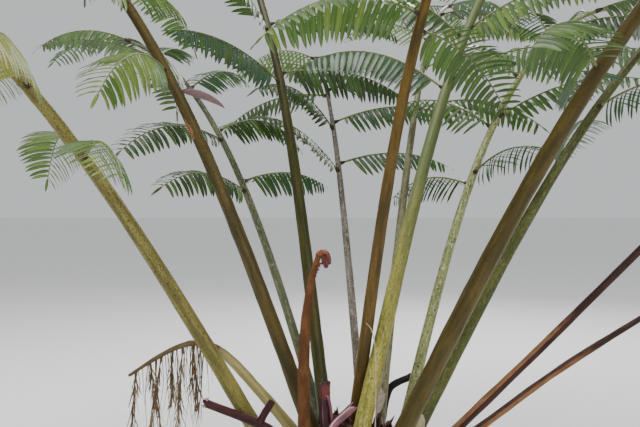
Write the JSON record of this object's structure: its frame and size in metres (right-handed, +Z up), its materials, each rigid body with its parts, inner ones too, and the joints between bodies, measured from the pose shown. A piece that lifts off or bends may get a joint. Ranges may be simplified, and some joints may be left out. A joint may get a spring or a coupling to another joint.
{
  "type": "tree fern",
  "caption": "Whole tree fern: a short stout trunk with arching fronds of toothed pinnae, a coiled young frond, dead stipes and broken stubs.",
  "frame": {"origin": "middle of the flat cut under the trunk, at ground level", "axes": "+Z up; the picture was taken from the -Y side, with +X to its right"},
  "size_m": [4.7052, 3.7268, 2.7808],
  "materials": {
    "old_trunk": "dark purplish-brown old frond bases, ragged and matt",
    "green_stipe": "smooth fleshy green to olive-brown stalk with short dark flecks",
    "frond_leaf": "deep green leaflets with a soft gloss, yellow-green where light comes through",
    "young_frond": "rusty red-brown felt of fine scales",
    "bud": "pale ivory, matt",
    "withered": "dry grey-brown shrivelled leaflets",
    "dead_stipe": "dark red-brown dry stalk with a tan underside"
  },
  "bodies": {
    "root": {"trunk": "old_trunk", "stipe_1": "green_stipe", "stipe_2": "green_stipe", "stipe_3": "green_stipe", "stipe_4": "green_stipe", "stipe_5": "green_stipe", "stipe_6": "green_stipe", "stipe_7": "green_stipe", "stipe_8": "green_stipe", "stipe_9": "green_stipe", "stipe_10": "green_stipe", "stipe_11": "green_stipe", "frond_1": "frond_leaf", "frond_2": "frond_leaf", "frond_3": "frond_leaf", "frond_4": "frond_leaf", "frond_5": "frond_leaf", "frond_6": "frond_leaf", "frond_7": "frond_leaf", "frond_8": "frond_leaf", "frond_9": "frond_leaf", "frond_10": "frond_leaf", "frond_11": "frond_leaf", "crozier": "young_frond", "young_bud": "bud", "bent_stipe": "green_stipe", "withered_frond": "withered", "dead_stipe_1": "dead_stipe", "dead_stipe_2": "dead_stipe", "broken_stub_1": "dead_stipe", "broken_stub_2": "dead_stipe", "broken_stub_3": "dead_stipe", "broken_stub_4": "dead_stipe"}
  },
  "joints": []
}
